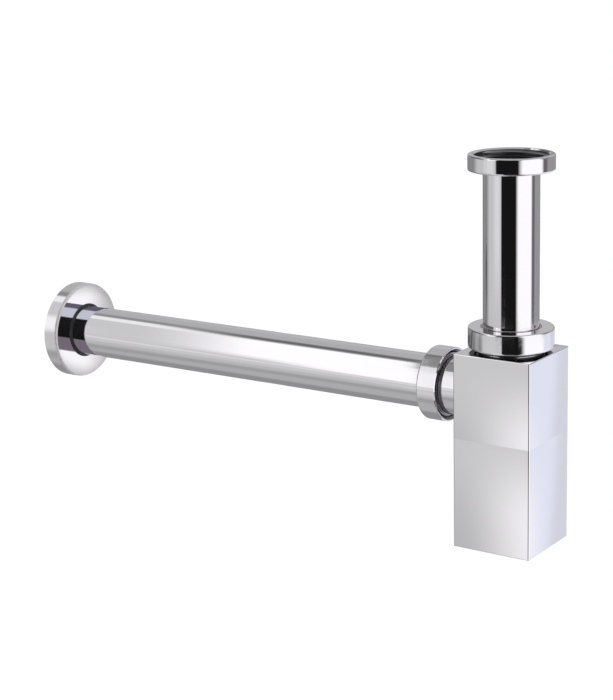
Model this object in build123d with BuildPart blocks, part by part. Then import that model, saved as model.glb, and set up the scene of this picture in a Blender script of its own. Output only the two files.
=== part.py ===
from build123d import *
import os

# Square bottle trap for a wash basin, chrome-plated brass.
# Z points up, the pipe to the wall runs along -X. The origin is on the dip tube's axis, at the face of
# the washer that the basin waste screws down on. All sizes are in millimetres.

# Clearances
seal_clearance = 0.1  # round a rubber ring that grips a pipe or sits in a mouth
slide_clearance = 0.4  # round a pipe in the socket that guides it
ring_clearance = 0.3  # round a loose ring
thread_clearance = 0.06  # between the crests of one thread and the roots of its mate

# Dip tube and its collar
tube_diameter = 32.0
tube_wall = 1.0
tube_length = 200.0
collar_diameter = 38.0
collar_thickness = 1.0
tube_deburr = 0.2

# Washer between the collar and the basin waste
washer_diameter = 38.4
washer_hole = 29.0
washer_thickness = 1.8

# Coupling nut, 1 1/4 inch pipe thread
waste_thread_diameter = 41.92
coupling_nut_wall = 3.54
coupling_nut_height = 9.3
coupling_nut_floor = 1.2
coupling_nut_hole_gap = 0.8
coupling_nut_relief = 0.4
coupling_nut_lead = 0.8
nut_rounding = 1.0

# Stretch of tube that shows between the two upper nuts
tube_show = 89.0

# Inlet nut, its ring and its seal
inlet_nut_wall = 3.49
inlet_nut_height = 11.8
inlet_nut_end = 1.9
inlet_nut_hole_gap = 1.2
hole_rounding = 0.5
slip_ring_thickness = 1.0
seal_height = 2.3
inlet_seal_diameter = 38.0
cone_depth = 1.8
cone_tip = 0.4

# Neck of the body, 1 1/4 inch pipe thread
neck_thread_diameter = 41.9
neck_thread_depth = 1.48
neck_groove_diameter = 38.0
neck_gap = 2.2
neck_groove_overlap = 0.5
thread_lead = 0.6

# Square body
body_side = 48.4
body_corner = 0.9
body_rim = 0.5
body_wall = 2.5
body_inner_corner = 4.0
upper_height = 49.7
upper_roof = 3.0
upper_ring_height = 3.0

# Threaded joint between the two halves
joint_thread_diameter = 44.6
joint_thread_depth = 0.92
joint_bore_diameter = 40.4
joint_spigot_length = 8.5
joint_seal_thickness = 1.5

# Cup
cup_height = 64.5
cup_floor = 3.0
cup_ledge_height = 2.5

# Outlet boss
outlet_drop = 25.4
boss_diameter = 34.8
boss_show = 13.7
boss_root_fillet = 0.6
boss_barrel_overlap = 1.5
boss_thread_diameter = 39.0
boss_thread_depth = 0.92
boss_socket_depth = 21.3

# Outlet nut, its ring and its seal
outlet_nut_wall = 2.19
outlet_nut_length = 12.4
outlet_nut_end = 2.0
outlet_nut_hole_gap = 0.8
outlet_nut_chamfer = 0.6
outlet_nut_lead = 1.3
outlet_seal_diameter = 35.8
outlet_seal_height = 3.0

# Outlet pipe
pipe_length = 300.0
pipe_insertion = 11.3
pipe_past_flange = 7.8

# Wall flange and its grip ring
flange_diameter = 61.5
flange_depth = 10.0
flange_wall = 1.0
flange_rounding = 1.5
flange_hole = 35.2
grip_shoulder_diameter = 39.0
grip_shoulder_thickness = 1.5
grip_recess = 0.3

# Radii worked out from the sizes above; a nut's wall is measured outside its thread
tube_radius = tube_diameter / 2
tube_bore = tube_radius - tube_wall
socket_radius = tube_radius + slide_clearance
seal_bore = tube_radius + seal_clearance
slip_bore = tube_radius + ring_clearance
half_side = body_side / 2
joint_bore = joint_bore_diameter / 2
coupling_thread = waste_thread_diameter / 2
coupling_nut_radius = coupling_thread + coupling_nut_wall
neck_root = neck_thread_diameter / 2 - neck_thread_depth
inlet_nut_bore = neck_thread_diameter / 2 + thread_clearance
inlet_nut_radius = inlet_nut_bore + inlet_nut_wall
joint_root = joint_thread_diameter / 2 - joint_thread_depth
cup_socket = joint_thread_diameter / 2 + thread_clearance
boss_root = boss_thread_diameter / 2 - boss_thread_depth
outlet_nut_bore = boss_thread_diameter / 2 + thread_clearance
outlet_nut_radius = outlet_nut_bore + outlet_nut_wall
mouth_radius = socket_radius + cone_depth

# Heights worked out from the washer's face downwards
tube_top = -washer_thickness
nut_floor_top = tube_top - collar_thickness
coupling_nut_bottom = nut_floor_top - coupling_nut_floor
coupling_nut_top = coupling_nut_bottom + coupling_nut_height
dip_end = tube_top - tube_length
inlet_nut_top = coupling_nut_bottom - tube_show
inlet_nut_bottom = inlet_nut_top - inlet_nut_height
inlet_ring_top = inlet_nut_top - inlet_nut_end
inlet_seal_top = inlet_ring_top - slip_ring_thickness
neck_top = inlet_seal_top - seal_height
body_top = inlet_nut_bottom - neck_gap
neck_groove_top = inlet_nut_bottom + neck_groove_overlap
seam = body_top - upper_height
body_bottom = seam - cup_height
spigot_end = seam - joint_spigot_length
cup_ledge = spigot_end - joint_seal_thickness
outlet_z = body_top - outlet_drop

# Distances from the tube's axis towards the wall
outlet_nut_start = half_side + boss_show
outlet_nut_finish = outlet_nut_start + outlet_nut_length
outlet_ring_finish = outlet_nut_finish - outlet_nut_end
outlet_seal_finish = outlet_ring_finish - slip_ring_thickness
boss_end = outlet_seal_finish - outlet_seal_height
barrel_end = outlet_nut_start + boss_barrel_overlap
socket_stop = boss_end - boss_socket_depth
pipe_start = boss_end - pipe_insertion
pipe_end = pipe_start + pipe_length
flange_back = pipe_end - pipe_past_flange
flange_face = flange_back - flange_depth

# Profiles round the tube are drawn as (radius, height), those round the pipe as (distance, radius)
outlet_plane = Plane(origin=(0, 0, outlet_z), x_dir=(-1, 0, 0), z_dir=(0, 1, 0))
outlet_axis = Axis((0, 0, outlet_z), (-1, 0, 0))

same_radius = 0.01  # how near an edge's radius has to be to the one asked for

os.makedirs("parts", exist_ok=True)


def rim(part, radius, axis, place):
    """The round edge of this radius whose middle lies nearest to a place along the axis."""
    circles = part.edges().filter_by(GeomType.CIRCLE)
    same_size = circles.filter_by(lambda edge: abs(edge.radius - radius) < same_radius)
    towards = axis.direction
    return same_size.sort_by(lambda edge: abs(edge.arc_center.dot(towards) - place))[0]


# Dip tube with its flared collar
with BuildPart() as inlet_tube:
    with BuildSketch(Plane.XZ):
        with BuildLine():
            Polyline(
                (tube_bore, dip_end),
                (tube_radius, dip_end),
                (tube_radius, nut_floor_top),
                (collar_diameter / 2, nut_floor_top),
                (collar_diameter / 2, tube_top),
                (tube_bore, tube_top),
                close=True,
            )
        make_face()
    revolve(axis=Axis.Z)
    chamfer(rim(inlet_tube, tube_radius, Axis.Z, dip_end), length=tube_deburr)
inlet_tube.part.label = "inlet_tube"

# Flat washer on the collar
with BuildPart() as basin_washer:
    with BuildSketch(Plane.XY.offset(tube_top)):
        Circle(washer_diameter / 2)
        Circle(washer_hole / 2, mode=Mode.SUBTRACT)
    extrude(amount=washer_thickness)
basin_washer.part.label = "basin_washer"

# Coupling nut: floor under the collar, relief beside the washer, thread above it
coupling_hole = tube_radius + coupling_nut_hole_gap
coupling_relief = coupling_thread + coupling_nut_relief
coupling_nut_rounding = min(nut_rounding, (coupling_nut_wall - coupling_nut_lead) / 2)
with BuildPart() as coupling_nut:
    with BuildSketch(Plane.XZ):
        with BuildLine():
            Polyline(
                (coupling_hole, coupling_nut_bottom),
                (coupling_nut_radius, coupling_nut_bottom),
                (coupling_nut_radius, coupling_nut_top),
                (coupling_thread + coupling_nut_lead, coupling_nut_top),
                (coupling_thread, coupling_nut_top - coupling_nut_lead),
                (coupling_thread, 0),
                (coupling_relief, 0),
                (coupling_relief, nut_floor_top),
                (coupling_hole, nut_floor_top),
                close=True,
            )
        make_face()
    revolve(axis=Axis.Z)
    fillet(rim(coupling_nut, coupling_nut_radius, Axis.Z, coupling_nut_top), coupling_nut_rounding)
    fillet(rim(coupling_nut, coupling_nut_radius, Axis.Z, coupling_nut_bottom), coupling_nut_rounding)
coupling_nut.part.label = "coupling_nut"

# Inlet nut: round hole for the tube at the top, thread for the neck below
inlet_hole = tube_radius + inlet_nut_hole_gap
inlet_nut_rounding = min(nut_rounding, (inlet_nut_wall - thread_lead) / 2)
with BuildPart() as inlet_nut:
    with BuildSketch(Plane.XZ):
        with BuildLine():
            Polyline(
                (inlet_hole, inlet_nut_top),
                (inlet_nut_radius, inlet_nut_top),
                (inlet_nut_radius, inlet_nut_bottom),
                (inlet_nut_bore + thread_lead, inlet_nut_bottom),
                (inlet_nut_bore, inlet_nut_bottom + thread_lead),
                (inlet_nut_bore, inlet_ring_top),
                (inlet_hole, inlet_ring_top),
                close=True,
            )
        make_face()
    revolve(axis=Axis.Z)
    fillet(rim(inlet_nut, inlet_nut_radius, Axis.Z, inlet_nut_top), inlet_nut_rounding)
    fillet(rim(inlet_nut, inlet_nut_radius, Axis.Z, inlet_nut_bottom), inlet_nut_rounding)
    fillet(rim(inlet_nut, inlet_hole, Axis.Z, inlet_nut_top), hole_rounding)
inlet_nut.part.label = "inlet_nut"

# Thin ring that the inlet nut turns on
with BuildPart() as inlet_slip_ring:
    with BuildSketch(Plane.XY.offset(inlet_seal_top)):
        Circle(inlet_nut_bore - ring_clearance)
        Circle(slip_bore, mode=Mode.SUBTRACT)
    extrude(amount=slip_ring_thickness)
inlet_slip_ring.part.label = "inlet_slip_ring"

# Tapered seal that the inlet nut squeezes into the neck's mouth
seal_lip = mouth_radius - 2 * seal_clearance
with BuildPart() as inlet_seal:
    with BuildSketch(Plane.XZ):
        with BuildLine():
            Polyline(
                (seal_bore, neck_top - cone_depth + cone_tip),
                (seal_lip - cone_depth + cone_tip, neck_top - cone_depth + cone_tip),
                (seal_lip, neck_top),
                (inlet_seal_diameter / 2, neck_top),
                (inlet_seal_diameter / 2, inlet_seal_top),
                (seal_bore, inlet_seal_top),
                close=True,
            )
        make_face()
    revolve(axis=Axis.Z)
inlet_seal.part.label = "inlet_seal"

# Upper half of the body: square shell, neck, outlet boss and the spigot for the cup, all one casting
with BuildPart() as trap_body:
    with BuildSketch(Plane.XY.offset(seam)):
        RectangleRounded(body_side, body_side, body_corner)
    extrude(amount=upper_height)
    fillet(trap_body.faces().sort_by(Axis.Z)[-1].edges(), body_rim)

    with BuildSketch(Plane.XY.offset(seam + upper_ring_height)):
        RectangleRounded(body_side - 2 * body_wall, body_side - 2 * body_wall, body_inner_corner)
    extrude(amount=upper_height - upper_ring_height - upper_roof, mode=Mode.SUBTRACT)

    # Neck, with a plain groove under its thread
    with BuildSketch(Plane.XZ):
        with BuildLine():
            Polyline(
                (socket_radius, body_top - upper_roof / 2),
                (neck_groove_diameter / 2, body_top - upper_roof / 2),
                (neck_groove_diameter / 2, neck_groove_top),
                (neck_root, neck_groove_top),
                (neck_root, neck_top),
                (socket_radius, neck_top),
                close=True,
            )
        make_face()
    revolve(axis=Axis.Z)

    # Spigot that the cup screws on
    with BuildSketch(Plane.XY.offset(spigot_end)):
        Circle(joint_root)
    extrude(amount=joint_spigot_length + upper_ring_height / 2)
    with BuildSketch(Plane.XY.offset(spigot_end)):
        Circle(joint_bore)
    extrude(amount=joint_spigot_length + upper_ring_height, mode=Mode.SUBTRACT)

    # Outlet boss: plain barrel, then the thread
    with BuildSketch(outlet_plane):
        with BuildLine():
            Polyline(
                (half_side - body_wall / 2, 0),
                (half_side - body_wall / 2, boss_diameter / 2),
                (barrel_end, boss_diameter / 2),
                (barrel_end, boss_root),
                (boss_end, boss_root),
                (boss_end, 0),
                close=True,
            )
        make_face()
    revolve(axis=outlet_axis)
    fillet(rim(trap_body, boss_diameter / 2, outlet_axis, half_side), boss_root_fillet)

    # Way through the roof for the tube, with the mouth that takes the seal
    with BuildSketch(Plane.XZ):
        with BuildLine():
            Polyline(
                (0, body_top - upper_roof),
                (socket_radius, body_top - upper_roof),
                (socket_radius, neck_top - cone_depth),
                (mouth_radius, neck_top),
                (0, neck_top),
                close=True,
            )
        make_face()
    revolve(axis=Axis.Z, mode=Mode.SUBTRACT)

    # Way out through the boss: bore in the wall, stop, socket for the pipe, mouth for the seal
    with BuildSketch(outlet_plane):
        with BuildLine():
            Polyline(
                (half_side - body_wall, 0),
                (half_side - body_wall, tube_bore),
                (socket_stop, tube_bore),
                (socket_stop, socket_radius),
                (boss_end - cone_depth, socket_radius),
                (boss_end, mouth_radius),
                (boss_end, 0),
                close=True,
            )
        make_face()
    revolve(axis=outlet_axis, mode=Mode.SUBTRACT)
trap_body.part.label = "trap_body"

# Flat washer that the spigot presses on the cup's ledge
with BuildPart() as cup_seal:
    with BuildSketch(Plane.XY.offset(cup_ledge)):
        Circle(cup_socket - ring_clearance)
        Circle(joint_bore + seal_clearance, mode=Mode.SUBTRACT)
    extrude(amount=joint_seal_thickness)
cup_seal.part.label = "cup_seal"

# Cup: square outside, round threaded socket at the top, ledge for the washer, square sump
with BuildPart() as bottle_cup:
    with BuildSketch(Plane.XY.offset(body_bottom)):
        RectangleRounded(body_side, body_side, body_corner)
    extrude(amount=cup_height)
    fillet(bottle_cup.faces().sort_by(Axis.Z)[0].edges(), body_rim)

    with BuildSketch(Plane.XY.offset(seam)):
        Circle(cup_socket)
    extrude(amount=-(seam - cup_ledge), mode=Mode.SUBTRACT)
    with BuildSketch(Plane.XY.offset(cup_ledge)):
        Circle(joint_bore)
    extrude(amount=-cup_ledge_height, mode=Mode.SUBTRACT)
    with BuildSketch(Plane.XY.offset(body_bottom + cup_floor)):
        RectangleRounded(body_side - 2 * body_wall, body_side - 2 * body_wall, body_inner_corner)
    extrude(amount=cup_ledge - cup_ledge_height - body_bottom - cup_floor, mode=Mode.SUBTRACT)
    chamfer(rim(bottle_cup, cup_socket, Axis.Z, seam), length=thread_lead)
bottle_cup.part.label = "bottle_cup"

# Outlet nut: open mouth towards the body, hole for the pipe at the far end
outlet_hole = tube_radius + outlet_nut_hole_gap
outlet_mouth_lead = min(outlet_nut_lead, outlet_nut_wall - thread_lead)
outlet_mouth_chamfer = min(outlet_nut_chamfer, (outlet_nut_wall - outlet_mouth_lead) / 2)
with BuildPart() as outlet_nut:
    with BuildSketch(outlet_plane):
        with BuildLine():
            Polyline(
                (outlet_nut_start, outlet_nut_bore + outlet_mouth_lead),
                (outlet_nut_start, outlet_nut_radius),
                (outlet_nut_finish, outlet_nut_radius),
                (outlet_nut_finish, outlet_hole),
                (outlet_ring_finish, outlet_hole),
                (outlet_ring_finish, outlet_nut_bore),
                (outlet_nut_start + outlet_mouth_lead, outlet_nut_bore),
                close=True,
            )
        make_face()
    revolve(axis=outlet_axis)
    fillet(rim(outlet_nut, outlet_nut_radius, outlet_axis, outlet_nut_finish), nut_rounding)
    chamfer(
        rim(outlet_nut, outlet_nut_radius, outlet_axis, outlet_nut_start),
        length=outlet_mouth_chamfer,
    )
outlet_nut.part.label = "outlet_nut"

# Thin ring that the outlet nut turns on
with BuildPart() as outlet_slip_ring:
    with BuildSketch(outlet_plane):
        with BuildLine():
            Polyline(
                (outlet_seal_finish, slip_bore),
                (outlet_seal_finish, outlet_nut_bore - ring_clearance),
                (outlet_ring_finish, outlet_nut_bore - ring_clearance),
                (outlet_ring_finish, slip_bore),
                close=True,
            )
        make_face()
    revolve(axis=outlet_axis)
outlet_slip_ring.part.label = "outlet_slip_ring"

# Tapered seal between the boss and the pipe
with BuildPart() as outlet_seal:
    with BuildSketch(outlet_plane):
        with BuildLine():
            Polyline(
                (boss_end - cone_depth + cone_tip, seal_bore),
                (boss_end - cone_depth + cone_tip, seal_lip - cone_depth + cone_tip),
                (boss_end, seal_lip),
                (boss_end, outlet_seal_diameter / 2),
                (outlet_seal_finish, outlet_seal_diameter / 2),
                (outlet_seal_finish, seal_bore),
                close=True,
            )
        make_face()
    revolve(axis=outlet_axis)
outlet_seal.part.label = "outlet_seal"

# Straight pipe to the wall
with BuildPart() as outlet_pipe:
    with BuildSketch(outlet_plane):
        with Locations(((pipe_start + pipe_end) / 2, tube_radius - tube_wall / 2)):
            Rectangle(pipe_length, tube_wall)
    revolve(axis=outlet_axis)
    chamfer(rim(outlet_pipe, tube_radius, outlet_axis, pipe_start), length=tube_deburr)
    chamfer(rim(outlet_pipe, tube_radius, outlet_axis, pipe_end), length=tube_deburr)
outlet_pipe.part.label = "outlet_pipe"

# Wall flange: drawn shell, flat face away from the wall, open at the back
flange_radius = flange_diameter / 2
with BuildPart() as wall_flange:
    with BuildSketch(outlet_plane):
        with BuildLine():
            Polyline(
                (flange_face, flange_hole / 2),
                (flange_face, flange_radius),
                (flange_back, flange_radius),
                (flange_back, flange_radius - flange_wall),
                (flange_face + flange_wall, flange_radius - flange_wall),
                (flange_face + flange_wall, flange_hole / 2),
                close=True,
            )
        make_face()
    revolve(axis=outlet_axis)
    fillet(rim(wall_flange, flange_radius, outlet_axis, flange_face), flange_rounding)
    fillet(
        rim(wall_flange, flange_radius - flange_wall, outlet_axis, flange_face + flange_wall),
        flange_rounding - flange_wall,
    )
wall_flange.part.label = "wall_flange"

# Rubber ring in the flange's hole, with a shoulder behind the face
grip_nose = flange_hole / 2 - seal_clearance
with BuildPart() as flange_grip_ring:
    with BuildSketch(outlet_plane):
        with BuildLine():
            Polyline(
                (flange_face + grip_recess, seal_bore),
                (flange_face + grip_recess, grip_nose),
                (flange_face + flange_wall, grip_nose),
                (flange_face + flange_wall, grip_shoulder_diameter / 2),
                (flange_face + flange_wall + grip_shoulder_thickness, grip_shoulder_diameter / 2),
                (flange_face + flange_wall + grip_shoulder_thickness, seal_bore),
                close=True,
            )
        make_face()
    revolve(axis=outlet_axis)
flange_grip_ring.part.label = "flange_grip_ring"

for piece in (
    inlet_tube,
    basin_washer,
    coupling_nut,
    inlet_nut,
    inlet_slip_ring,
    inlet_seal,
    trap_body,
    cup_seal,
    bottle_cup,
    outlet_nut,
    outlet_slip_ring,
    outlet_seal,
    outlet_pipe,
    wall_flange,
    flange_grip_ring,
):
    export_step(piece.part, f"parts/{piece.part.label}.step")
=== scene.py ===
"""Dresses a square basin trap: cuts its threads, polishes its chrome and sets up the studio round it."""

import math
from typing import NamedTuple

import bmesh
import bpy
from bpy.props import FloatProperty, FloatVectorProperty, IntProperty, PointerProperty
from mathutils import Matrix, Vector


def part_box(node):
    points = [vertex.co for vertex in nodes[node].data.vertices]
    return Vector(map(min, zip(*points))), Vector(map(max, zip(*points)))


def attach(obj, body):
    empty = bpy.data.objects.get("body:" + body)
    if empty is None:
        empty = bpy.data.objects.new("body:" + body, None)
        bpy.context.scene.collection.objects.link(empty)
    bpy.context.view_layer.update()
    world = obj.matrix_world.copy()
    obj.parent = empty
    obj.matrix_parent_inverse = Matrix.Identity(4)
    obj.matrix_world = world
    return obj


bl_info = {
    "name": "Square Bottle Trap",
    "version": (1, 0, 0),
    "blender": (4, 5, 0),
    "location": "View3D > Sidebar > Bottle Trap",
    "description": "Threads, polished chrome, rubber, nylon and a studio for a square basin trap",
    "category": "Object",
}

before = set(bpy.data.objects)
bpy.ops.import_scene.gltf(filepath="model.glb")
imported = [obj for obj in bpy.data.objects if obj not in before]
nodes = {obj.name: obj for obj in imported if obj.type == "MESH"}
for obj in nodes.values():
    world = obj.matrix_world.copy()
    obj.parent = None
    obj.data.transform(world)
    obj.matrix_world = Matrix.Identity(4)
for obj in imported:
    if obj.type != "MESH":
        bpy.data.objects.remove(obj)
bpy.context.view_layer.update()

MM = 0.001
TURN = 2 * math.pi


def corners(name):
    """Lowest and highest corner of a CAD node, in metres."""
    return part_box(name)


# Places that the looks are hung on, read from the frame
pipe_low, pipe_high = corners("outlet_pipe")
body_low = corners("trap_body")[0]
cup_low, cup_high = corners("bottle_cup")
coupling_low, coupling_high = corners("coupling_nut")
inlet_low, inlet_high = corners("inlet_nut")
outlet_low, outlet_high = corners("outlet_nut")
inlet_seal_high = corners("inlet_seal")[1]
cup_seal_high = corners("cup_seal")[1]
ring_low, ring_high = corners("inlet_slip_ring")
outlet_ring_high = corners("outlet_slip_ring")[1]
flange_low, flange_high = corners("wall_flange")

pipe_height = (pipe_low.z + pipe_high.z) / 2
tube_radius = pipe_high.y
half_side = cup_high.x
seam_height = cup_high.z

FAR = 1.0  # metres from the origin, well past every piece
SKIN = 0.1 * MM  # how far a zone's end is moved off the surface that it lies at
HALF_DULL_SHADE = 0.8  # how rough and how darkened with painted shade a zone is, where the wheel reaches a little

# The frame of each thread: its own Z runs along the screw's axis
upright = Matrix.Identity(4)
to_wall = Matrix.Translation((0, 0, pipe_height)) @ Matrix.Rotation(-math.pi / 2, 4, "Y")


class ThreadSizes(bpy.types.PropertyGroup):
    """Pitch and depth of the trap's two kinds of thread."""

    pipe_pitch: FloatProperty(
        name="Pipe pitch",
        description="Pitch of the coupling nut and of the neck, 11 threads an inch",
        default=25.4 / 11 * MM,
        precision=5,
        unit="LENGTH",
    )
    pipe_depth: FloatProperty(
        name="Pipe depth",
        description="Height of a pipe thread's ridge",
        default=1.48 * MM,
        precision=5,
        unit="LENGTH",
    )
    fine_pitch: FloatProperty(
        name="Fine pitch",
        description="Pitch of the cup's joint and of the outlet boss",
        default=1.5 * MM,
        precision=5,
        unit="LENGTH",
    )
    fine_depth: FloatProperty(
        name="Fine depth",
        description="Height of a fine thread's ridge",
        default=0.92 * MM,
        precision=5,
        unit="LENGTH",
    )
    turn_steps: IntProperty(
        name="Steps a turn",
        description="Facets that one turn of a thread has",
        default=96,
        min=24,
    )


class FinishLook(bpy.types.PropertyGroup):
    """Colours and roughness of the trap's surfaces."""

    chrome_color: FloatVectorProperty(
        name="Chrome",
        description="Colour of the polished plating",
        default=(0.914, 0.898, 0.932),
        subtype="COLOR",
    )
    chrome_roughness: FloatProperty(
        name="Chrome roughness",
        description="Roughness of the polished plating",
        default=0.035,
        subtype="FACTOR",
    )
    # Painted shade: this dark colour stands in for the shade in bores, gaps and recesses, where the plating
    # is also left unpolished and rough
    satin_shade_color: FloatVectorProperty(
        name="Unpolished plating",
        description="Colour of the plating inside the tubes",
        default=(0.13, 0.13, 0.142),
        subtype="COLOR",
    )
    satin_roughness: FloatProperty(
        name="Unpolished roughness",
        description="Roughness of the plating inside the tubes",
        default=0.38,
        subtype="FACTOR",
    )
    rim_roughness: FloatProperty(
        name="Rim roughness",
        description="Roughness of the flange's rounded rim, which the wheel only brushes",
        default=0.66,
        subtype="FACTOR",
    )
    side_lean: FloatProperty(
        name="Side lean",
        description="How far polishing has rounded each square face by the time it reaches its side edges",
        default=math.radians(3.5),
        subtype="ANGLE",
    )
    foot_lean: FloatProperty(
        name="Foot lean",
        description="How far polishing has rounded each square face by the time it reaches its foot",
        default=math.radians(3.7),
        subtype="ANGLE",
    )
    rubber_color: FloatVectorProperty(
        name="Rubber",
        description="Colour of the seals",
        default=(0.022, 0.022, 0.025),
        subtype="COLOR",
    )
    nylon_color: FloatVectorProperty(
        name="Nylon",
        description="Colour of the slip rings",
        default=(0.80, 0.79, 0.75),
        subtype="COLOR",
    )


class StudioLook(bpy.types.PropertyGroup):
    """Camera, floor and light."""

    camera_place: FloatVectorProperty(
        name="Camera place",
        description="Where the camera stands",
        default=(0.4863, -0.9217, 0.1566),
        precision=4,
        subtype="TRANSLATION",
    )
    camera_azimuth: FloatProperty(
        name="Azimuth",
        description="How far the camera stands round to the right of the front",
        default=math.radians(34.157),
        subtype="ANGLE",
    )
    camera_pitch: FloatProperty(
        name="Pitch",
        description="How far the camera looks down",
        default=math.radians(12.032),
        subtype="ANGLE",
    )
    camera_roll: FloatProperty(
        name="Roll",
        description="How far the camera leans",
        default=math.radians(-1.189),
        subtype="ANGLE",
    )
    camera_lens: FloatProperty(
        name="Lens",
        description="Focal length in millimetres on a 36 mm sensor",
        default=96.92,
        subtype="DISTANCE_CAMERA",
    )
    camera_shift: FloatProperty(
        name="Shift",
        description="How far the lens is shifted down, as a share of the picture's height",
        default=-0.1,
    )
    floor_height: FloatProperty(
        name="Floor height",
        description="Height of the floor, well under the lowest pose",
        default=-0.62,
        unit="LENGTH",
    )
    floor_light: FloatProperty(
        name="Floor light",
        description="Strength of the even light that the floor and other matt surfaces get",
        default=1.12,
    )
    reflector_distance: FloatProperty(
        name="Reflector distance",
        description="How far from the wall flange its reflector stands",
        default=0.13,
        unit="LENGTH",
    )
    reflector_size: FloatProperty(
        name="Reflector size",
        description="Side of the wall flange's reflector",
        default=0.08,
        unit="LENGTH",
    )
    floor_color: FloatVectorProperty(
        name="Floor",
        description="Colour of the floor",
        default=(0.93, 0.93, 0.93),
        subtype="COLOR",
    )


def grey(level):
    return (level, level, level, 1)


class Graph:
    """Short ways to add and join the nodes of one tree."""

    def __init__(self, tree):
        self.tree = tree

    def add(self, kind, **settings):
        made = self.tree.nodes.new(kind)
        for key, value in settings.items():
            setattr(made, key, value)
        return made

    def feed(self, socket, value):
        """Links an output into a socket, or sets its value."""
        if isinstance(value, bpy.types.NodeSocket):
            self.tree.links.new(value, socket)
        else:
            socket.default_value = value

    def math(self, operation, *values, clamp=False):
        made = self.add("ShaderNodeMath", operation=operation, use_clamp=clamp)
        for socket, value in zip(made.inputs, values):
            self.feed(socket, value)
        return made.outputs[0]

    def hypotenuse(self, x, y):
        return self.math("SQRT", self.math("ADD", self.math("MULTIPLY", x, x), self.math("MULTIPLY", y, y)))

    def vector_math(self, operation, *values):
        made = self.add("ShaderNodeVectorMath", operation=operation)
        for socket, value in zip(made.inputs, values):
            self.feed(socket, value)
        return made.outputs[0]

    def split(self, vector):
        made = self.add("ShaderNodeSeparateXYZ")
        self.feed(made.inputs[0], vector)
        return made.outputs

    def join(self, x, y, z):
        made = self.add("ShaderNodeCombineXYZ")
        for socket, value in zip(made.inputs, (x, y, z)):
            self.feed(socket, value)
        return made.outputs[0]

    def ramp(self, value, low, high, start=0.0, end=1.0):
        """Runs smoothly from start at low to end at high."""
        made = self.add("ShaderNodeMapRange", interpolation_type="SMOOTHSTEP")
        for socket, number in zip(made.inputs, (value, low, high, start, end)):
            self.feed(socket, number)
        return made.outputs[0]

    def mix_color(self, share, under, over):
        made = self.add("ShaderNodeMix", data_type="RGBA")
        self.feed(made.inputs[0], share)
        self.feed(made.inputs[6], under)
        self.feed(made.inputs[7], over)
        return made.outputs[2]

    def noise(self, vector, scale, detail=2.0, roughness=0.5, dimensions="3D"):
        made = self.add("ShaderNodeTexNoise", noise_dimensions=dimensions)
        self.feed(made.inputs["Vector"], vector)
        self.feed(made.inputs["Scale"], scale)
        self.feed(made.inputs["Detail"], detail)
        self.feed(made.inputs["Roughness"], roughness)
        return made.outputs[0]

    def group(self, tree, **values):
        """Places a node group; its inputs are named with underscores for spaces."""
        made = self.add("ShaderNodeGroup", node_tree=tree)
        for key, value in values.items():
            self.feed(made.inputs[key.replace("_", " ")], value)
        return made.outputs


def new_group(name, inputs, outputs):
    """A shader node group with the given sockets, its graph, its input sockets and its output node."""
    tree = bpy.data.node_groups.new(name, "ShaderNodeTree")
    for kind, sockets in (("INPUT", inputs), ("OUTPUT", outputs)):
        for socket_name, socket_type in sockets:
            tree.interface.new_socket(socket_name, in_out=kind, socket_type=socket_type)
    graph = Graph(tree)
    return graph, graph.add("NodeGroupInput").outputs, graph.add("NodeGroupOutput").inputs


FLOAT, VECTOR, COLOR = "NodeSocketFloat", "NodeSocketVector", "NodeSocketColor"


def polish_group():
    """Low waves and fine smears that a buffing wheel leaves in plating."""
    graph, given, made = new_group(
        "Polish",
        [("Wave Size", FLOAT), ("Wave Depth", FLOAT), ("Smear Size", FLOAT)],
        [("Height", FLOAT), ("Smear", FLOAT)],
    )
    place = graph.add("ShaderNodeTexCoord").outputs["Object"]
    waves = graph.noise(place, graph.math("DIVIDE", 1.0, given["Wave Size"]), detail=1.0)
    smears = graph.noise(place, graph.math("DIVIDE", 1.0, given["Smear Size"]), detail=4.0, roughness=0.6)
    graph.feed(made["Height"], graph.math("MULTIPLY", waves, given["Wave Depth"]))
    graph.feed(made["Smear"], graph.ramp(smears, 0.42, 0.72))
    return graph.tree


def turning_group():
    """Fine rings that a lathe and a buffing wheel leave round an axis, which is the vector's Z."""
    graph, given, made = new_group(
        "Turning Marks",
        [("Vector", VECTOR), ("Ring Size", FLOAT), ("Ring Depth", FLOAT)],
        [("Height", FLOAT), ("Mark", FLOAT), ("Radius", FLOAT)],
    )
    x, y, z = graph.split(given["Vector"])
    radius = graph.hypotenuse(x, y)
    rings = graph.noise(
        graph.join(z, radius, 0.0), graph.math("DIVIDE", 1.0, given["Ring Size"]), detail=3.0, dimensions="2D"
    )
    graph.feed(made["Height"], graph.math("MULTIPLY", rings, given["Ring Depth"]))
    graph.feed(made["Mark"], graph.ramp(rings, 0.35, 0.75))
    graph.feed(made["Radius"], radius)
    return graph.tree


def crown_group():
    """Height of a slightly rounded block, which leans more and more towards its sides and its foot."""
    graph, given, made = new_group(
        "Face Crown",
        [
            ("Half Side", FLOAT),
            ("Top", FLOAT),
            ("Block Height", FLOAT),
            ("Side Slope", FLOAT),
            ("Foot Slope", FLOAT),
        ],
        [("Height", FLOAT)],
    )
    x, y, z = graph.split(graph.add("ShaderNodeTexCoord").outputs["Object"])
    fallen = 0.0
    for away, reach, slope in (
        (graph.math("ABSOLUTE", x), given["Half Side"], given["Side Slope"]),
        (graph.math("ABSOLUTE", y), given["Half Side"], given["Side Slope"]),
        (graph.math("SUBTRACT", given["Top"], z), given["Block Height"], given["Foot Slope"]),
    ):
        share = graph.math("DIVIDE", away, reach, clamp=True)
        square = graph.math("MULTIPLY", share, share)
        drop = graph.math("MULTIPLY", graph.math("MULTIPLY", slope, reach), 0.5)
        fallen = graph.math("MULTIPLY_ADD", square, drop, fallen)
    graph.feed(made["Height"], graph.math("MULTIPLY", fallen, -1.0))
    return graph.tree


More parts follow.
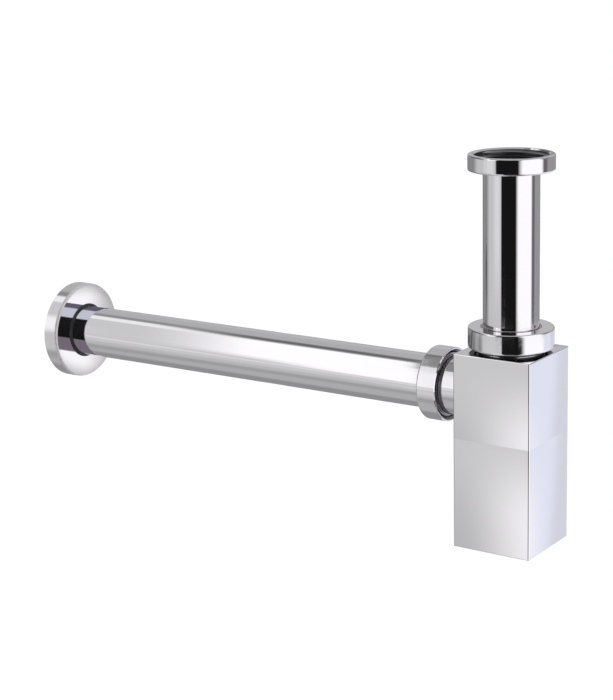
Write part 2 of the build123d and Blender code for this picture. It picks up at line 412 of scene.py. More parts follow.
def zone_group():
    """One where a place lies nearer to the vector's Z axis than a radius and between two marks on it."""
    graph, given, made = new_group(
        "Dull Shade Zone",
        [("Vector", VECTOR), ("Square", FLOAT), ("Radius", FLOAT), ("From", FLOAT), ("To", FLOAT)],
        [("Mask", FLOAT)],
    )
    # The mask marks a zone; most zones are left rough and darkened with painted shade
    x, y, z = graph.split(given["Vector"])
    rounded = graph.hypotenuse(x, y)
    squared = graph.math("MAXIMUM", graph.math("ABSOLUTE", x), graph.math("ABSOLUTE", y))
    over = graph.math("SUBTRACT", squared, rounded)
    radius = graph.math("MULTIPLY_ADD", over, given["Square"], rounded)
    near = graph.math("LESS_THAN", radius, given["Radius"])
    after = graph.math("GREATER_THAN", z, given["From"])
    before = graph.math("LESS_THAN", z, given["To"])
    graph.feed(made["Mask"], graph.math("MULTIPLY", near, graph.math("MULTIPLY", after, before)))
    return graph.tree


def panel_group():
    """Lays one panel of the studio over the colour under it, between two angles each way."""
    sides = [way + side for way in ("Across", "Along") for side in (" From", " From Blur", " To", " To Blur")]
    graph, given, made = new_group(
        "Studio Panel",
        [("Under", COLOR), ("Panel", COLOR), ("Across", FLOAT), ("Along", FLOAT)]
        + [(side, FLOAT) for side in sides],
        [("Color", COLOR)],
    )
    share = 1.0
    for way in ("Across", "Along"):
        for side, start, end in ((" From", 0.0, 1.0), (" To", 1.0, 0.0)):
            edge, blur = given[way + side], given[way + side + " Blur"]
            edge_share = graph.ramp(
                given[way], graph.math("SUBTRACT", edge, blur), graph.math("ADD", edge, blur), start, end
            )
            share = graph.math("MULTIPLY", share, edge_share)
    graph.feed(made["Color"], graph.mix_color(share, given["Under"], given["Panel"]))
    return graph.tree


def shared_group(make):
    """The node group that a function makes, made once."""
    if make not in shared_group.made:
        shared_group.made[make] = make()
    return shared_group.made[make]


shared_group.made = {}


def new_material(name):
    """An empty material, its graph and its Principled BSDF."""
    material = bpy.data.materials.new(name)
    material.use_nodes = True
    graph = Graph(material.node_tree)
    shader = material.node_tree.nodes["Principled BSDF"]
    return material, graph, shader


def axis_place(graph, level):
    """Object coordinates with Z along the piece's own axis."""
    mapping = graph.add("ShaderNodeMapping", vector_type="POINT")
    graph.feed(mapping.inputs["Vector"], graph.add("ShaderNodeTexCoord").outputs["Object"])
    if level:
        mapping.vector_type = "TEXTURE"
        mapping.inputs["Location"].default_value = (0, 0, pipe_height)
        mapping.inputs["Rotation"].default_value = (0, math.radians(90), 0)
    return mapping.outputs[0]


class Zone(NamedTuple):
    """Where the buffing wheel doesn't reach fully, which leaves the plating rough, and where painted shade
    darkens it; and how strongly.
    """

    radius: float = FAR  # half the side where the zone is square
    start: float = -FAR  # the two marks on the axis that the zone lies between
    end: float = FAR
    # how rough and how darkened with painted shade the zone is, from 0 to 1
    shade_and_dullness: float = 1.0
    level: bool = False  # whether the axis is the pipe's
    square: bool = False


def dull_shade_mask(graph, zones):
    """How rough and how darkened with painted shade the zones leave each place, where one is fully so."""
    mask = 0.0
    for zone in zones:
        found = graph.group(
            shared_group(zone_group),
            Vector=axis_place(graph, zone.level),
            Square=float(zone.square),
            Radius=zone.radius,
            From=zone.start,
            To=zone.end,
        )
        mask = graph.math("MAXIMUM", mask, graph.math("MULTIPLY", found["Mask"], zone.shade_and_dullness))
    return mask


def raise_surface(graph, shader, height, distance=1.0):
    """Joins a height to a shader as its bump; a distance of one takes the height in metres."""
    bump = graph.add("ShaderNodeBump")
    bump.inputs["Strength"].default_value = 1.0
    bump.inputs["Distance"].default_value = distance
    graph.feed(bump.inputs["Height"], height)
    graph.feed(shader.inputs["Normal"], bump.outputs[0])


SMEAR_ROUGHNESS = 0.02  # what a full smear adds to the polished plating's roughness


def plate(graph, shader, look, height, smear, mask, brushed=0.0):
    """Joins the plating's colour, roughness and bump to its shader; where the mask is one it is rough and
    painted dark, as painted shade.
    """
    # The satin colour is painted shade, mixed in where bores, gaps and recesses lie in shadow
    polished, satin_shade = (*look.chrome_color, 1), (*look.satin_shade_color, 1)
    graph.feed(shader.inputs["Base Color"], graph.mix_color(mask, polished, satin_shade))
    bright = graph.math("MULTIPLY_ADD", smear, SMEAR_ROUGHNESS, look.chrome_roughness)
    rough = graph.math("MULTIPLY", mask, look.satin_roughness)
    rough = graph.math("MAXIMUM", rough, graph.math("MULTIPLY", brushed, look.rim_roughness))
    graph.feed(shader.inputs["Roughness"], graph.math("MAXIMUM", bright, rough))
    shader.inputs["Metallic"].default_value = 1.0
    raise_surface(graph, shader, height)


HEAD_ON, OBLIQUE = 0.08, 0.2  # how far a surface is turned away, from none at 0 to edge-on at 1


def mirrored_head_on(graph):
    """One where another mirror shows the surface head-on."""
    facing = graph.add("ShaderNodeLayerWeight").outputs["Facing"]
    in_mirror = graph.add("ShaderNodeLightPath").outputs["Is Glossy Ray"]
    return graph.math("MULTIPLY", in_mirror, graph.ramp(facing, HEAD_ON, OBLIQUE, 1.0, 0.0))


def turned_chrome(name, look, level=False, zones=(), rim=None):
    """Polished plating on a turned piece whose axis is upright or level.

    A rim is given as its inner radius and the mark on the axis where it starts. It is only brushed, and the
    whole piece that has one is painted dark and rough where another mirror shows it head-on, which real
    plating isn't: this painted shade keeps the flange's white out of the tube's side. The zones are
    likewise rough and darkened with painted shade.
    """
    material, graph, shader = new_material(name)
    polish = graph.group(
        shared_group(polish_group), Wave_Size=11 * MM, Wave_Depth=0.0035 * MM, Smear_Size=3 * MM
    )
    turning = graph.group(
        shared_group(turning_group),
        Vector=axis_place(graph, level),
        Ring_Size=0.35 * MM,
        Ring_Depth=0.00012 * MM,
    )
    smear = graph.math("MULTIPLY_ADD", turning["Mark"], 0.5, polish["Smear"])
    brushed = 0.0
    dull_and_shaded = dull_shade_mask(graph, zones)
    if rim:
        inner, start = rim
        beyond = dull_shade_mask(graph, (Zone(start=start, level=level),))
        within = dull_shade_mask(graph, (Zone(radius=inner, start=start, level=level),))
        brushed = graph.math("SUBTRACT", beyond, within)
        # Painted shade: the piece's colour is darkened where another mirror shows it head-on
        dull_and_shaded = graph.math("MAXIMUM", dull_and_shaded, mirrored_head_on(graph))
    height = graph.math("ADD", polish["Height"], turning["Height"])
    plate(graph, shader, look, height, smear, dull_and_shaded, brushed)
    return material


def block_chrome(name, look, low, high, zones):
    """Polished plating on one half of the square body, its faces slightly rounded by the wheel."""
    material, graph, shader = new_material(name)
    polish = graph.group(
        shared_group(polish_group), Wave_Size=14 * MM, Wave_Depth=0.004 * MM, Smear_Size=4 * MM
    )
    crown = graph.group(
        shared_group(crown_group),
        Half_Side=half_side,
        Top=high,
        Block_Height=high - low,
        Side_Slope=math.tan(look.side_lean),
        Foot_Slope=math.tan(look.foot_lean),
    )
    height = graph.math("ADD", polish["Height"], crown["Height"])
    plate(graph, shader, look, height, polish["Smear"], dull_shade_mask(graph, zones))
    return material


def moulded_rubber(look):
    """Matt black rubber with a fine mould grain."""
    material, graph, shader = new_material("moulded_rubber")
    place = graph.add("ShaderNodeTexCoord").outputs["Object"]
    grain = graph.noise(place, 1 / (0.25 * MM), detail=3.0, roughness=0.6)
    bloom = graph.ramp(graph.noise(place, 1 / (6 * MM), detail=2.0), 0.4, 0.8)
    base = (*look.rubber_color, 1)
    paler = (*(channel * 1.9 for channel in look.rubber_color), 1)
    graph.feed(shader.inputs["Base Color"], graph.mix_color(bloom, base, paler))
    graph.feed(shader.inputs["Roughness"], graph.ramp(grain, 0.2, 0.8, 0.48, 0.68))
    raise_surface(graph, shader, grain, distance=0.02 * MM)
    return material


def turned_nylon(look):
    """Off-white nylon with the faint rings of a parted-off washer."""
    material, graph, shader = new_material("turned_nylon")
    place = graph.add("ShaderNodeTexCoord").outputs["Object"]
    cloud = graph.noise(place, 1 / (5 * MM), detail=3.0)
    base = (*look.nylon_color, 1)
    warmer = (look.nylon_color[0] * 0.94, look.nylon_color[1] * 0.91, look.nylon_color[2] * 0.84, 1)
    graph.feed(shader.inputs["Base Color"], graph.mix_color(graph.ramp(cloud, 0.35, 0.7), base, warmer))
    graph.feed(shader.inputs["Roughness"], graph.ramp(cloud, 0.3, 0.7, 0.36, 0.5))
    turning = graph.group(
        shared_group(turning_group),
        Vector=axis_place(graph, False),
        Ring_Size=0.3 * MM,
        Ring_Depth=0.004 * MM,
    )
    raise_surface(graph, shader, turning["Height"])
    return material


def dress(material, *names):
    """Puts a material in the slots of CAD nodes."""
    for name in names:
        for slot in nodes[name].material_slots:
            slot.material = material


# One ridge's section: distance along the axis as a share of the pitch, height as a share of the depth
SUNK = 0.04  # how deep the ridge's foot lies in its wall
RIDGE = (
    (-0.41, -SUNK),
    (-0.37, 0.03),
    (-0.10, 0.90),
    (-0.04, 1.00),
    (0.04, 1.00),
    (0.10, 0.90),
    (0.37, 0.03),
    (0.41, -SUNK),
)
RUN_OUT = 0.16  # share of a turn over which a ridge's end dies away


def die_away(mesh, root, rise, steps, steps_a_turn):
    """Lowers both ends of a spun ridge to its foot."""
    for index, vert in enumerate(mesh.verts):
        ring = index // len(RIDGE)
        from_end = min(ring, steps - ring) / (RUN_OUT * steps_a_turn)
        if from_end < 1:
            keep = math.sin(from_end * math.pi / 2)
            radius = math.hypot(vert.co.x, vert.co.y)
            wanted = root - rise * SUNK + (radius - root + rise * SUNK) * keep
            vert.co.x *= wanted / radius
            vert.co.y *= wanted / radius


def thread_ridge(name, place, root, rise, pitch, start, end, shift, steps_a_turn):
    """A right-handed helical ridge on a wall of radius root; a negative rise makes it a nut's.

    It runs along the screw's own axis from start to end, and passes the zero angle where the axis is at
    shift plus any number of pitches.
    """
    turns = (end - start) / pitch
    steps = round(turns * steps_a_turn)
    first_angle = TURN * (start - shift) / pitch
    mesh = bmesh.new()
    section = [mesh.verts.new((root + rise * up, 0, start + pitch * along)) for along, up in RIDGE]
    edges = [mesh.edges.new((a, b)) for a, b in zip(section, section[1:] + section[:1])]
    bmesh.ops.rotate(mesh, verts=section, cent=(0, 0, 0), matrix=Matrix.Rotation(first_angle, 3, "Z"))
    bmesh.ops.spin(
        mesh,
        geom=section + edges,
        cent=(0, 0, 0),
        axis=(0, 0, 1),
        dvec=(0, 0, (end - start) / steps),
        angle=TURN * turns,
        steps=steps,
        use_merge=False,
    )
    die_away(mesh, root, rise, steps, steps_a_turn)
    bmesh.ops.holes_fill(mesh, edges=mesh.edges)
    bmesh.ops.recalc_face_normals(mesh, faces=mesh.faces)
    # A helix can be recalculated inside out, going by its end caps, so its volume has the last word
    if mesh.calc_volume(signed=True) < 0:
        bmesh.ops.reverse_faces(mesh, faces=mesh.faces)
    bmesh.ops.transform(mesh, matrix=place, verts=mesh.verts)
    return finished(mesh, name)


def finished(mesh, name, sharp_angle=40):
    """A bmesh as a smooth-shaded object that sits at the origin."""
    data = bpy.data.meshes.new(name)
    mesh.to_mesh(data)
    mesh.free()
    data.shade_smooth()
    data.set_sharp_from_angle(angle=math.radians(sharp_angle))
    made = bpy.data.objects.new(name, data)
    bpy.context.scene.collection.objects.link(made)
    return made


# Radii of the threads, as the solids leave room for them
WASTE_ROOT = 20.96 * MM
NECK_CREST = 20.95 * MM
CUP_CREST = 22.3 * MM
BOSS_CREST = 19.5 * MM
THREAD_CLEARANCE = 0.06 * MM  # between the crests of one thread and the roots of its mate
LEAD = 0.6 * MM  # chamfer at the mouths of the inlet nut and the cup
OUTLET_LEAD = 1.3 * MM  # chamfer at the mouth of the outlet nut
SEAL_SHOULDER = 2.3 * MM  # how high the inlet seal stands over the neck


def coarse_threads(sizes):
    """The threads of 11 an inch, at the basin waste and at the neck.

    Each thread has its piece's name, body, slot and frame, its wall's radius, 1 where it stands out of its
    wall and -1 where it is a nut's, its pitch and depth, its start and end on the screw's axis, and its
    shift. It stops short of the ends of its wall.
    """
    kind = (sizes.pipe_pitch, sizes.pipe_depth)
    neck_root = NECK_CREST - sizes.pipe_depth
    nut_root = NECK_CREST + THREAD_CLEARANCE
    coupling_start = 0.3 * MM
    coupling_end = coupling_high.z - 1.9 * MM
    neck_top = inlet_seal_high.z - SEAL_SHOULDER
    neck_start = inlet_low.z + 1.0 * MM
    neck_end = neck_top - 0.3 * MM
    nut_start = inlet_low.z + LEAD + 0.8 * MM
    nut_end = ring_low.z - 1.0 * MM
    half_a_turn_on = inlet_low.z + sizes.pipe_pitch / 2
    return (
        ("coupling_nut_thread", "coupling_nut", "turned_chrome", upright,
         WASTE_ROOT, -1, kind, coupling_start, coupling_end, 0.0),
        ("neck_thread", "trap_body", "body_chrome", upright,
         neck_root, 1, kind, neck_start, neck_end, inlet_low.z),
        ("inlet_nut_thread", "inlet_nut", "turned_chrome", upright,
         nut_root, -1, kind, nut_start, nut_end, half_a_turn_on),
    )


def fine_threads(sizes):
    """The threads of the cup's joint and of the outlet boss, laid out like the coarse ones."""
    kind = (sizes.fine_pitch, sizes.fine_depth)
    half_a_turn = sizes.fine_pitch / 2
    joint_start = cup_seal_high.z + 0.7 * MM
    spigot_end = seam_height - 0.9 * MM
    cup_end = seam_height - LEAD - 0.7 * MM
    boss_mouth = -body_low.x
    boss_start = boss_mouth - 4.3 * MM
    boss_end = boss_mouth - 0.6 * MM
    nut_start = -outlet_high.x + OUTLET_LEAD + 0.5 * MM
    nut_end = -outlet_ring_high.x - 0.9 * MM
    return (
        ("spigot_thread", "trap_body", "body_chrome", upright,
         CUP_CREST - sizes.fine_depth, 1, kind, joint_start, spigot_end, seam_height),
        ("cup_thread", "cup", "body_chrome", upright,
         CUP_CREST + THREAD_CLEARANCE, -1, kind, joint_start, cup_end, seam_height + half_a_turn),
        ("boss_thread", "trap_body", "body_chrome", to_wall,
         BOSS_CREST - sizes.fine_depth, 1, kind, boss_start, boss_end, boss_mouth),
        ("outlet_nut_thread", "outlet_nut", "turned_chrome", to_wall,
         BOSS_CREST + THREAD_CLEARANCE, -1, kind, nut_start, nut_end, boss_mouth + half_a_turn),
    )


class TRAP_OT_threads(bpy.types.Operator):
    """Cut the ridges of the trap's seven screw threads"""

    bl_idname = "bottle_trap.threads"
    bl_label = "Cut Threads"

    def execute(self, context):
        sizes = context.scene.trap_threads
        look = context.scene.trap_finish
        # The threads are rough and painted dark as painted shade, fully, or partly in the coupling nut's
        # mouth
        material = turned_chrome("thread_satin_shade", look, zones=(Zone(),))
        mouth = turned_chrome("mouth_satin_shade", look, zones=(Zone(shade_and_dullness=HALF_DULL_SHADE),))
        threads = (*coarse_threads(sizes), *fine_threads(sizes))
        for name, body, slot, place, root, way, (pitch, depth), start, end, shift in threads:
            ridge = thread_ridge(name, place, root, way * depth, pitch, start, end, shift, sizes.turn_steps)
            ridge.data.materials.append(mouth if body == "coupling_nut" else material)
            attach(ridge, body)
        return {"FINISHED"}


# How far the zones of the turned pieces reach that are left rough and darkened with painted shade
NUT_BORE = 21.7 * MM  # radius, in the coupling nut and the inlet nut
OUTLET_NUT_BORE = 20.8 * MM
HALF_WALL = 0.5 * MM  # of the tube and the pipe
EDGE_MARGIN = 0.3 * MM  # kept clear at a nut's outer edge and at its end
SHELL_MARGIN = 0.9 * MM  # nearly the flange's wall, so that only its inside is left rough and painted dark
RIM_ROUND = 1.5 * MM  # radius of the flange's rounded rim


class TRAP_OT_turned(bpy.types.Operator):
    """Polish the nuts, the tubes and the wall flange, with painted shade in their bores and under the inlet
    nut
    """

    bl_idname = "bottle_trap.turned"
    bl_label = "Polish Turned Pieces"

    def execute(self, context):
        look = context.scene.trap_finish
        mouth_chamfer = 0.7 * MM
        # Painted shade: these zones darken the bores, the inlet nut's underside and the flange's inside
        coupling_bore = Zone(
            radius=NUT_BORE,
            start=coupling_low.z + SKIN,
            end=coupling_high.z - mouth_chamfer,
            shade_and_dullness=HALF_DULL_SHADE,
        )
        inlet_bore = Zone(radius=NUT_BORE, start=inlet_low.z - SKIN, end=ring_high.z + SKIN)
        underside = Zone(
            radius=inlet_high.x - EDGE_MARGIN, start=inlet_low.z - SKIN, end=inlet_low.z + SKIN
        )
        outlet_bore = Zone(
            radius=OUTLET_NUT_BORE,
            start=outlet_low.x + EDGE_MARGIN,
            end=outlet_high.x + SKIN,
            shade_and_dullness=HALF_DULL_SHADE,
            level=True,
        )
        shell = Zone(
            radius=flange_high.y - SHELL_MARGIN,
            start=flange_low.x - SKIN,
            end=flange_high.x - SHELL_MARGIN,
            level=True,
        )
        tube_bore = Zone(radius=tube_radius - HALF_WALL)
        pipe_bore = Zone(radius=tube_radius - HALF_WALL, level=True)
        dress(turned_chrome("coupling_chrome", look, zones=(coupling_bore,)), "coupling_nut")
        dress(turned_chrome("inlet_nut_chrome", look, zones=(inlet_bore, underside)), "inlet_nut")
        dress(turned_chrome("tube_chrome", look, zones=(tube_bore,)), "inlet_tube")
        dress(turned_chrome("pipe_chrome", look, level=True, zones=(pipe_bore,)), "outlet_pipe")
        dress(turned_chrome("outlet_nut_chrome", look, level=True, zones=(outlet_bore,)), "outlet_nut")
        rim = (flange_high.y - RIM_ROUND, flange_high.x - RIM_ROUND)
        dress(turned_chrome("flange_chrome", look, level=True, zones=(shell,), rim=rim), "wall_flange")
        return {"FINISHED"}


class TRAP_OT_block(bpy.types.Operator):
    """Polish the two halves of the square body, with painted shade in the neck's gap, at the outlet boss and
    inside
    """

    bl_idname = "bottle_trap.block"
    bl_label = "Polish Square Body"

    def execute(self, context):
        look = context.scene.trap_finish
        neck_gap = 2.2 * MM  # between the body's top and the inlet nut
        top = inlet_low.z - neck_gap
        inside = half_side - 1.5 * MM
        into_wall = 2.0 * MM
        boss_radius = 19.8 * MM
        thread_end = outlet_high.x - 1.6 * MM
        shoulder_end = outlet_high.x - 0.9 * MM
        # Painted shade: the neck's gap under the inlet nut, the boss in the outlet nut's mouth and the
        # insides are darkened
        neck = Zone(radius=20.2 * MM, start=top + SKIN)
        boss_thread = Zone(radius=boss_radius, end=thread_end, shade_and_dullness=HALF_DULL_SHADE, level=True)
        boss_shoulder = Zone(
            radius=boss_radius, start=thread_end, end=shoulder_end, shade_and_dullness=0.6, level=True
        )
        cavity = Zone(radius=inside, end=top - into_wall, square=True)
        sump = Zone(radius=inside, start=cup_low.z + into_wall, end=seam_height - SKIN, square=True)
        dull_shaded_parts = (neck, boss_thread, boss_shoulder, cavity)
        dress(block_chrome("body_polish", look, seam_height, top, dull_shaded_parts), "trap_body")
        dress(block_chrome("cup_polish", look, cup_low.z, seam_height, (sump,)), "bottle_cup")
        return {"FINISHED"}


class TRAP_OT_soft(bpy.types.Operator):
    """Give the seals their rubber and the slip rings their nylon"""

    bl_idname = "bottle_trap.soft"
    bl_label = "Finish Seals and Rings"

    def execute(self, context):
        look = context.scene.trap_finish
        seals = ("basin_washer", "inlet_seal", "outlet_seal", "cup_seal", "flange_grip_ring")
        dress(moulded_rubber(look), *seals)
        dress(turned_nylon(look), "inlet_slip_ring", "outlet_slip_ring")
        return {"FINISHED"}


# The studio as chrome sees it. Upright panels are laid out by how far they stand to the right of the
# camera and above the horizon, level ones by how far they are turned up round the pipe and along it.
# Each has its two spans, as an edge and its blur twice over in degrees, and its tone. A later panel lies
# over the earlier ones. The tones were set for the camera's own view of each piece.

NO_PANEL = grey(0.40)  # the studio where no panel stands

# Spans along the pipe: what the whole pipe shows, its half by the nut, its very end there, its half by
# the wall, and what the outlet nut shows
OVER_PIPE = (-47, 3, -20, 3)
OVER_PIPE_NEAR = (-36.4, 2, -20, 3)
OVER_PIPE_END = (-33.2, 1.5, -20, 3)
OVER_PIPE_FAR = (-47, 3, -36, 2)
OVER_NUT = (-29.65, 0.12, -15, 3)
LEVEL_PANELS = (
    ("left_sky", (15, 5, 165, 5), (-89, 1, -46, 3), grey(0.12)),
    ("sky_behind_pipe", (88, 4, 180, 0.1), OVER_PIPE, grey(0.45)),
    ("side_softbox", (-36, 14, 88, 3), OVER_PIPE_FAR, grey(0.62)),
    ("top_softbox_far", (0, 17, 85.5, 3), OVER_PIPE_NEAR, grey(1.1)),
    ("top_softbox", (-12, 20, 85.5, 3), OVER_PIPE_END, grey(1.1)),
    ("top_strip", (77, 3, 95, 3), OVER_PIPE_FAR, grey(0.9)),
    ("strip_edge", (91, 3, 106, 4), OVER_PIPE_NEAR, grey(0.15)),
    ("far_strip_edge", (98, 3, 112, 4), OVER_PIPE_FAR, grey(0.28)),
    ("nut_softbox", (-12, 20, 85.5, 3), OVER_NUT, grey(0.95)),
    ("nut_shade", (42, 12, 66, 3), OVER_NUT, grey(0.80)),
    ("nut_gap", (60, 3, 100, 4), OVER_NUT, grey(0.25)),
)

# Spans above the horizon that several upright panels share
WALLS = (-13.7, 0.1, -5, 2)
BEHIND = (-90, 1, -13.5, 0.1)
BACK = (-13.5, 0.1, 11, 1.5)
TABLE = (-22, 5, -13.7, 0.1)
FLOOR = (-90, 1, -13.7, 0.1)
UPRIGHT_PANELS = (
    ("floor_left", (-180, 0.1, -20, 3), FLOOR, grey(0.44)),
    ("floor_behind", (-180, 0.1, -120, 14), FLOOR, grey(0.29)),
    ("floor_shadow", (-110, 10, -50, 6), (-46, 4, -35, 5), grey(0.365)),
    ("left_floor_near", (-84, 5, -20, 3), (-33, 5, -13.7, 0.1), grey(0.515)),
    ("left_table_far", (-180, 0.1, -80, 7), TABLE, grey(0.36)),
    ("left_table_edge", (-180, 0.1, -114, 8), TABLE, grey(0.11)),
    ("left_table_streak", (-96, 4, -87, 4), TABLE, grey(0.25)),
    ("left_table", (-80, 7, -20, 2), TABLE, grey(0.62)),
    ("low_card", (-56, 9, -22, 3), (-46, 4, -19.3, 4.4), grey(0.95)),
    ("left_far_wall", (-180, 0.1, -41, 1), WALLS, grey(0.25)),
    ("left_wall", (-108, 12, -41, 1), WALLS, grey(0.57)),
    ("left_card", (-75, 8, -47, 7), (-12.2, 1.6, -5, 2), grey(0.73)),
    ("table_behind", (90, 4, 181, 1), BEHIND, (0.79, 0.829, 0.932, 1)),
    ("right_low_card", (96, 8, 122, 7), (-50, 4, -20, 4), grey(1.03)),
    ("table_far_right", (129, 3, 181, 1), BEHIND, (0.686, 0.712, 0.766, 1)),
    ("back_wall", (88, 3, 181, 1), BACK, grey(0.315)),
    ("back_sky", (140, 10, 181, 1), (11, 1.5, 60, 10), grey(0.50)),
    ("back_sky_left", (-181, 1, -166, 5), (11, 1.5, 32, 5), grey(0.50)),
    ("softbox_edge", (90, 3, 106, 5), BACK, (0.138, 0.126, 0.157, 1)),
    ("black_panel", (-41, 2.5, 30, 1), (-13.7, 0.1, 52, 2), grey(0.008)),
    ("dark_floor", (-22, 3, 60, 8), (-80, 1, -19, 3), (0.128, 0.111, 0.138, 1)),
    ("black_panel_foot", (-25, 2, 40, 1), (-20, 1.5, -13.7, 0.1), grey(0.008)),
    ("right_softbox", (22.5, 9, 88.5, 6), (-13.7, 0.1, 55, 3), grey(1.07)),
    ("right_low_softbox", (32.5, 8, 96, 6), (-32, 3, -13.7, 0.1), grey(1.07)),
)

# Spans along the pipe again, for two narrow places: the pipe's image in the flange, and the flange's rim
IN_FLANGE = (35, 2, 45, 2)
OVER_RIM = (-41.8, 0.3, -40.0, 0.3)
FAR_PANELS = (
    ("pipe_back", (-138, 4, -36, 1.5), IN_FLANGE, (0.197, 0.168, 0.196, 1)),
    ("pipe_back_pale", (62, 4, 180, 0.1), IN_FLANGE, (0.61, 0.655, 0.707, 1)),
    ("pipe_back_top", (122, 5, 180, 0.1), IN_FLANGE, (0.118, 0.119, 0.162, 1)),
    ("pipe_back_black", (-36, 1.5, 64, 3), IN_FLANGE, grey(0.008)),
    ("rim_low", (-46, 8, 6, 6), OVER_RIM, grey(0.57)),
    ("rim_streak", (2, 10, 38, 8), OVER_RIM, grey(0.97)),
)


def panelled_studio(graph, azimuth):
    """The colour that the panels give each direction, where the azimuth is the camera's."""
    direction = graph.add("ShaderNodeTexCoord").outputs["Generated"]
    x, y, z = graph.split(graph.vector_math("NORMALIZE", direction))
    facing_x, facing_y = math.sin(azimuth), -math.cos(azimuth)
    towards = graph.math("ADD", graph.math("MULTIPLY", x, facing_x), graph.math("MULTIPLY", y, facing_y))
    aside = graph.math("SUBTRACT", graph.math("MULTIPLY", y, facing_x), graph.math("MULTIPLY", x, facing_y))
    right = graph.math("DEGREES", graph.math("ARCTAN2", aside, towards))
    above = graph.math("DEGREES", graph.math("ARCSINE", z))
    turned_up = graph.math("DEGREES", graph.math("ARCTAN2", z, graph.math("MULTIPLY", y, -1.0)))
    sideways = graph.math("DEGREES", graph.math("ARCSINE", x))
    level, upright_ways = (turned_up, sideways), (right, above)
    layers = ((LEVEL_PANELS, level), (UPRIGHT_PANELS, upright_ways), (FAR_PANELS, level))
    color = NO_PANEL
    for panels, (across, along) in layers:
        for name, across_span, along_span, tone in panels:
            panel = graph.add("ShaderNodeGroup", node_tree=shared_group(panel_group), label=name)
            values = (color, tone, across, along, *across_span, *along_span)
            for socket, value in zip(panel.inputs, values):
                graph.feed(socket, value)
            color = panel.outputs[0]
    return color


def studio_world(azimuth, floor_light):
    """White to the camera, an even light on matt surfaces, and a studio of panels in reflections."""
    world = bpy.data.worlds.new("studio")
    world.use_nodes = True
    world.node_tree.nodes.clear()
    graph = Graph(world.node_tree)
    color = panelled_studio(graph, azimuth)
    rays = graph.add("ShaderNodeLightPath").outputs
    studio = graph.add("ShaderNodeBackground")
    graph.feed(studio.inputs["Color"], color)
    even = graph.add("ShaderNodeBackground")
    even.inputs["Color"].default_value = grey(1.0)
    even.inputs["Strength"].default_value = floor_light
    mixed = graph.add("ShaderNodeMixShader")
    graph.feed(mixed.inputs[0], rays["Is Glossy Ray"])
    graph.feed(mixed.inputs[1], even.outputs[0])
    graph.feed(mixed.inputs[2], studio.outputs[0])
    graph.feed(graph.add("ShaderNodeOutputWorld").inputs["Surface"], mixed.outputs[0])
    return world


FLOOR_RADIUS = 25.0


def studio_floor(look):
    """A wide round floor in a plain pale finish, left out of reflections."""
    mesh = bmesh.new()
    bmesh.ops.create_circle(mesh, cap_ends=True, segments=96, radius=FLOOR_RADIUS)
    bmesh.ops.translate(mesh, verts=mesh.verts, vec=(0, 0, look.floor_height))
    floor = finished(mesh, "studio_floor")
    material, _, shader = new_material("pale_floor")
    shader.inputs["Base Color"].default_value = (*look.floor_color, 1)
    shader.inputs["Roughness"].default_value = 0.9
    floor.data.materials.append(material)
    floor.visible_glossy = False


# How the flange's reflector fades: where it starts and ends, and how bright it is at both
EDGE_FADE = (23 * MM, 36 * MM, 1.0, 0.5)  # outwards from its middle
SIDE_FADE = (-2 * MM, 13 * MM, 1.0, 0.48)  # towards its lower right
SIDE_FADE_LEAN = -0.23


def reflector_white(middle):
    """A one-sided glow that fades away from the card's middle and towards its lower right."""
    material, graph, shader = new_material("reflector_white")
    shader.inputs["Base Color"].default_value = (0, 0, 0, 1)
    spot = graph.add("ShaderNodeTexCoord").outputs["Object"]
    offset = graph.vector_math("SUBTRACT", spot, tuple(middle))
    from_middle = graph.add("ShaderNodeVectorMath", operation="LENGTH")
    graph.feed(from_middle.inputs[0], offset)
    edge_fade = graph.ramp(from_middle.outputs[1], *EDGE_FADE)
    aside, above = graph.split(offset)[1:]
    low_right = graph.math("MULTIPLY_ADD", above, SIDE_FADE_LEAN, aside)
    side_fade = graph.ramp(low_right, *SIDE_FADE)
    graph.feed(shader.inputs["Emission Color"], graph.math("MULTIPLY", edge_fade, side_fade))
    shader.inputs["Emission Strength"].default_value = 1.0
    graph.feed(shader.inputs["Alpha"], graph.add("ShaderNodeNewGeometry").outputs["Backfacing"])
    return material


def flange_reflector(look):
    """A white card that the flange's face shows, seen in reflections only."""
    face = Vector((flange_high.x, 0, pipe_height))
    seen = (face - Vector(look.camera_place)).normalized()
    away = Vector((-seen.x, seen.y, seen.z))
    middle = face + away * look.reflector_distance
    mesh = bmesh.new()
    bmesh.ops.create_grid(mesh, x_segments=1, y_segments=1, size=look.reflector_size / 2)
    turned = away.to_track_quat("Z", "Y").to_matrix().to_4x4()
    bmesh.ops.transform(mesh, matrix=Matrix.Translation(middle) @ turned, verts=mesh.verts)
    card = finished(mesh, "flange_reflector")
    card.data.materials.append(reflector_white(middle))
    card.visible_camera = False
    card.visible_diffuse = False
    card.visible_shadow = False


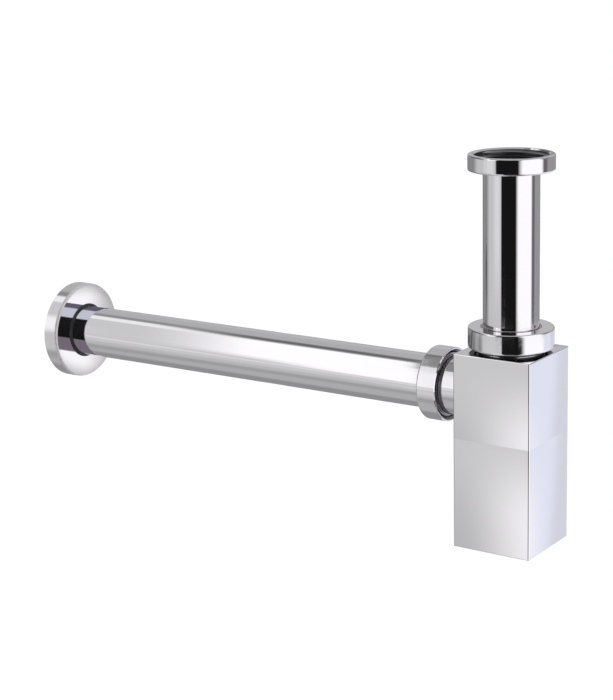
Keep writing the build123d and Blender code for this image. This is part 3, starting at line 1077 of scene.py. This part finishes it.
class TRAP_OT_stage(bpy.types.Operator):
    """Set up the floor, the light and the camera"""

    bl_idname = "bottle_trap.stage"
    bl_label = "Set Up Studio"

    def execute(self, context):
        look = context.scene.trap_studio
        studio_floor(look)
        flange_reflector(look)
        place = Vector(look.camera_place)
        context.scene.world = studio_world(math.atan2(place.x, -place.y), look.floor_light)
        camera = bpy.data.objects.new("camera", bpy.data.cameras.new("camera"))
        context.scene.collection.objects.link(camera)
        turned = (
            Matrix.Rotation(look.camera_azimuth, 4, "Z")
            @ Matrix.Rotation(math.pi / 2 - look.camera_pitch, 4, "X")
            @ Matrix.Rotation(look.camera_roll, 4, "Z")
        )
        camera.matrix_world = Matrix.Translation(place) @ turned
        camera.data.lens = look.camera_lens
        camera.data.shift_y = look.camera_shift
        camera.data.clip_start = 0.01
        context.scene.camera = camera
        context.scene.view_settings.view_transform = "Standard"
        return {"FINISHED"}


class TRAP_PT_panel(bpy.types.Panel):
    """Lists the trap's settings and steps"""

    bl_idname = "TRAP_PT_panel"
    bl_label = "Square Bottle Trap"
    bl_space_type = "VIEW_3D"
    bl_region_type = "UI"
    bl_category = "Bottle Trap"

    def draw(self, context):
        for group in (context.scene.trap_threads, context.scene.trap_finish, context.scene.trap_studio):
            box = self.layout.box()
            for key in group.__annotations__:
                box.prop(group, key)
        for operator in OPERATORS:
            self.layout.operator(operator.bl_idname)


OPERATORS = (TRAP_OT_threads, TRAP_OT_turned, TRAP_OT_block, TRAP_OT_soft, TRAP_OT_stage)
SETTINGS = {"trap_threads": ThreadSizes, "trap_finish": FinishLook, "trap_studio": StudioLook}


def register():
    for group in (*SETTINGS.values(), *OPERATORS, TRAP_PT_panel):
        bpy.utils.register_class(group)
    for name, group in SETTINGS.items():
        setattr(bpy.types.Scene, name, PointerProperty(type=group))


def unregister():
    for name in SETTINGS:
        delattr(bpy.types.Scene, name)
    for group in reversed((*SETTINGS.values(), *OPERATORS, TRAP_PT_panel)):
        bpy.utils.unregister_class(group)


def main():
    register()
    for operator in OPERATORS:
        getattr(bpy.ops.bottle_trap, operator.bl_idname.split(".")[1])()


if __name__ == "__main__":
    main()
